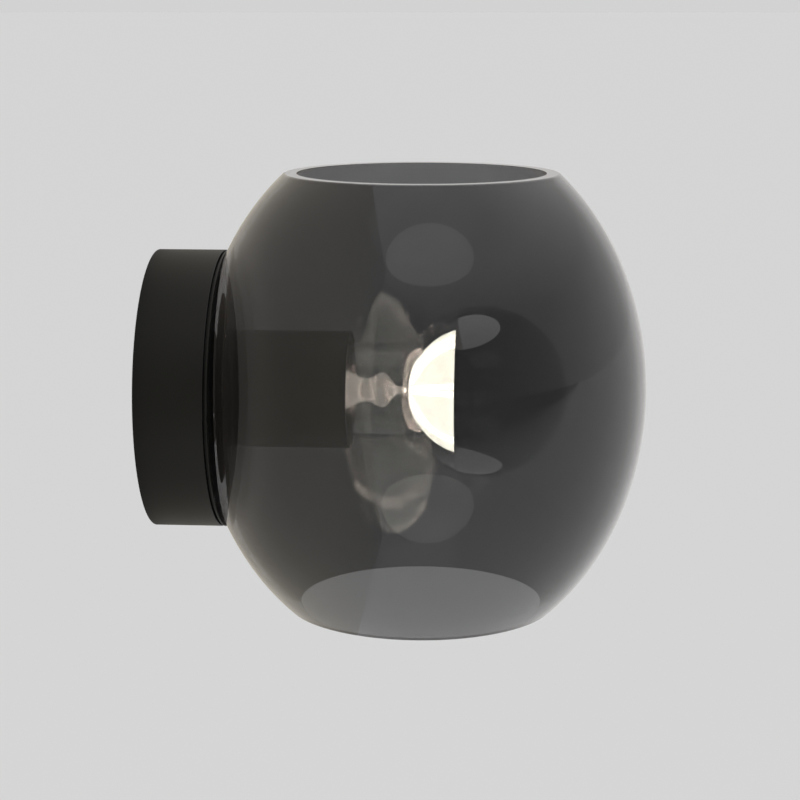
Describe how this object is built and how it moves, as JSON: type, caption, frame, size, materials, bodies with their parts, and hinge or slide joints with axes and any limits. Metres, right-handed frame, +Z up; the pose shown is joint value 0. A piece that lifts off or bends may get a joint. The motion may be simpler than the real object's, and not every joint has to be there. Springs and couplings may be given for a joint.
{
  "type": "globe wall sconce",
  "caption": "Wall light with a short round black canopy, a tubular lampholder and a smoked glass barrel shade, open above and below, around a mirror-crown bulb.",
  "frame": {"origin": "centre of the canopy's wall face, on the lampholder's axis", "axes": "+X out of the wall along the lampholder, +Z up, along the shade's axis, +Y along the wall"},
  "size_m": [0.1739, 0.1594, 0.155],
  "materials": {
    "zinc_steel": "zinc plated",
    "black_paint": "satin black",
    "black_moulding": "matt black",
    "black_rubber": "matt",
    "white_nylon": "matt",
    "bare_brass": "plain",
    "smoked_glass": "clear smoked grey, polished",
    "glazed_ceramic": "white glazed ceramic",
    "cap_metal": "satin",
    "cap_glass": "black vitrite glass",
    "clear_glass": "clear",
    "mirror_coat": "silvered crown",
    "support_wire": "bright wire",
    "glowing_filament": "warm white when lit",
    "live_brown": "insulated lead",
    "neutral_blue": "insulated lead",
    "earth_green": "insulated lead"
  },
  "bodies": {
    "bracket": {"wall_bracket": "zinc_steel", "cable_grommet": "black_rubber", "bracket_earth_screw": "bare_brass", "bracket_earth_washer": "zinc_steel"},
    "canopy": {"canopy_cup": "black_paint", "canopy_face_disc": "black_paint", "threaded_tube": "bare_brass", "rear_nut": "zinc_steel", "rear_washer": "zinc_steel", "front_nut": "zinc_steel", "rear_gasket": "black_rubber", "front_gasket": "black_rubber", "centring_bush": "white_nylon", "holder_sleeve": "black_paint", "holder_strap": "zinc_steel", "strap_screws": "zinc_steel", "holder_ceramic": "glazed_ceramic", "screw_shell": "bare_brass", "contact_foot": "bare_brass", "holder_terminals": "bare_brass", "terminal_screws": "bare_brass", "mouth_ring": "black_moulding", "terminal_block": "white_nylon", "terminal_barrels": "bare_brass", "clamp_screws": "zinc_steel", "block_screws": "zinc_steel", "live_lead": "live_brown", "neutral_lead": "neutral_blue", "earth_lead": "earth_green", "earth_tag": "bare_brass", "canopy_earth_screw": "bare_brass"},
    "shade": {"smoked_shade": "smoked_glass"},
    "bulb": {"bulb_cap": "cap_metal", "bulb_insulator": "cap_glass", "bulb_tip_contact": "bare_brass", "bulb_envelope": "clear_glass", "bulb_mirror": "mirror_coat", "bulb_stem": "clear_glass", "bulb_supports": "support_wire", "bulb_filaments": "glowing_filament"},
    "lock": {"lock_screw": "zinc_steel"},
    "contact": {"contact_tongue": "bare_brass"}
  },
  "joints": [
    {"name": "canopy_release", "type": "slide", "parent": "bracket", "child": "canopy", "axis": [1, 0, 0], "range_m": [0, 0.03]},
    {"name": "shade_turn", "type": "hinge", "parent": "canopy", "child": "shade", "pos_m": [0.0278, 0, 0], "axis": [1, 0, 0], "continuous": true},
    {"name": "bulb_unscrew", "type": "slide", "parent": "canopy", "child": "bulb", "axis": [1, 0, 0], "range_m": [0, 0.015]},
    {"name": "lock_screw_back_off", "type": "slide", "parent": "canopy", "child": "lock", "axis": [0, 0, -1], "range_m": [0, 0.0035]},
    {"name": "contact_press", "type": "slide", "parent": "canopy", "child": "contact", "axis": [-1, 0, 0], "range_m": [0, 0.0005], "stiffness_N_per_m": 2000}
  ]
}
